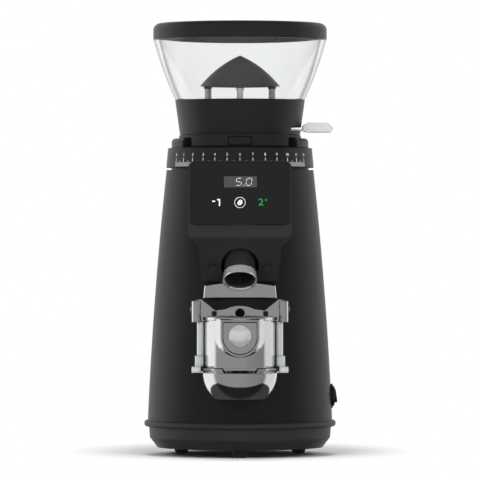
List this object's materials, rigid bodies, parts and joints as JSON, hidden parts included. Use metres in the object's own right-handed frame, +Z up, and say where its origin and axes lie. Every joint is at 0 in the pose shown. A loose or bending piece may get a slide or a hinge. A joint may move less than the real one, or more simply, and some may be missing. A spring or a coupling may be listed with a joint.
{
  "type": "burr coffee grinder",
  "caption": "Tower coffee grinder with flat burrs, a turning grind dial, a clear bean hopper and a bright portafilter holder under its spout.",
  "frame": {"origin": "on the floor under the tower's axis, in the middle of the feet", "axes": "+Z up along the tower, front with the panel and spout towards -Y, +X to the right of someone facing the front"},
  "size_m": [0.2219, 0.2871, 0.4956],
  "materials": {
    "black_shell": "satin black coat on the tower and base",
    "black_plastic": "satin black moulding",
    "clear_bowl": "clear moulded plastic",
    "smoked_guard": "dark smooth plastic",
    "grey_post": "grey plastic",
    "panel_glass": "black-backed glass",
    "bright_metal": "polished bright metal",
    "foot_rubber": "matte rubber",
    "steel": "plain steel",
    "black_steel": "blackened steel",
    "cast_alloy": "cast and machined alloy",
    "burr_steel": "hardened and ground steel",
    "core_steel": "stacked core plates",
    "copper_wire": "lacquered copper wire",
    "board_green": "circuit board",
    "display_grey": "display module",
    "light_case": "light plastic case"
  },
  "bodies": {
    "stand": {"base_tub": "black_plastic", "base_flange": "black_shell", "rubber_feet": "foot_rubber", "foot_screws": "steel", "body_shell": "black_shell", "cord_gland": "black_plastic", "switch_bezel": "black_plastic", "control_board": "board_green", "start_capacitor": "light_case", "motor_frame": "cast_alloy", "motor_can": "steel", "motor_end_plate": "cast_alloy", "motor_bolts": "steel", "stator_core": "core_steel", "stator_winding": "copper_wire", "lower_bearing": "steel", "upper_bearing": "steel", "chamber_housing": "cast_alloy", "chamber_bolts": "steel", "front_housing": "black_plastic", "head_screws": "steel", "touch_panel": "panel_glass", "display_board": "board_green", "display_module": "display_grey", "grounds_chute": "black_plastic", "spout_tip": "bright_metal", "guide_rail": "black_shell", "rail_cap": "bright_metal"},
    "rotor": {"motor_shaft": "steel", "rotor_core": "core_steel", "cooling_fan": "black_plastic", "lower_burr_carrier": "cast_alloy", "lower_burr": "burr_steel", "lower_burr_screws": "steel", "burr_nut": "steel"},
    "dial": {"dial_ring": "black_plastic", "hopper_seat": "black_plastic", "seat_screws": "steel"},
    "carrier": {"upper_burr_carrier": "cast_alloy", "upper_burr": "burr_steel", "upper_burr_screws": "steel", "drive_pins": "steel"},
    "hopper": {"hopper_collar": "black_plastic", "hopper_bowl": "clear_bowl", "bean_guard": "smoked_guard", "guard_posts": "grey_post"},
    "lid": {"hopper_lid": "black_plastic"},
    "gate": {"hopper_gate": "bright_metal"},
    "latch": {"hopper_latch": "black_plastic"},
    "rocker": {"power_rocker": "black_plastic"},
    "holder": {"holder_bracket": "bright_metal", "bracket_pads": "foot_rubber", "clamp_screw": "black_steel", "side_frames": "bright_metal", "side_pins": "steel", "holder_cup": "bright_metal", "paddle_pin": "steel", "paddle_switch": "black_plastic"},
    "paddle": {"start_paddle": "bright_metal"},
    "bowl": {"catch_bowl": "bright_metal"}
  },
  "joints": [
    {"name": "motor_spin", "type": "hinge", "parent": "stand", "child": "rotor", "pos_m": [0, 0, 0.18], "axis": [0, 0, 1], "continuous": true},
    {"name": "grind_dial", "type": "hinge", "parent": "stand", "child": "dial", "pos_m": [0, 0, 0.341], "axis": [0, 0, 1], "range_deg": [-60, 60]},
    {"name": "carrier_thread", "type": "slide", "parent": "dial", "child": "carrier", "axis": [0, 0, 1], "range_m": [-0.0003, 0.0003]},
    {"name": "hopper_lift", "type": "slide", "parent": "dial", "child": "hopper", "axis": [0, 0, 1], "range_m": [0, 0.06]},
    {"name": "lid_lift", "type": "slide", "parent": "hopper", "child": "lid", "axis": [0, 0, 1], "range_m": [0, 0.1]},
    {"name": "gate_pull", "type": "slide", "parent": "hopper", "child": "gate", "axis": [1, 0, 0], "range_m": [0, 0.068]},
    {"name": "latch_press", "type": "slide", "parent": "hopper", "child": "latch", "axis": [0, 1, 0], "range_m": [0, 0.003], "stiffness_N_per_m": 600, "springref_m": -0.002},
    {"name": "power_switch", "type": "hinge", "parent": "stand", "child": "rocker", "pos_m": [0.1056, 0, 0.0675], "axis": [0, 1, 0], "range_deg": [0, 16]},
    {"name": "holder_height", "type": "slide", "parent": "stand", "child": "holder", "axis": [0, 0, 1], "range_m": [-0.01, 0.006]},
    {"name": "paddle_press", "type": "hinge", "parent": "holder", "child": "paddle", "pos_m": [0, -0.1666, 0.152], "axis": [1, 0, 0], "range_deg": [0, 5], "stiffness_Nm_per_rad": 0.5, "springref_deg": -1.72},
    {"name": "bowl_pull", "type": "slide", "parent": "holder", "child": "bowl", "axis": [0, -1, 0], "range_m": [0, 0.09]}
  ],
  "couplings": [
    {"joint": "carrier_thread", "follows": "grind_dial", "m_per_rad": 0.00023873}
  ]
}
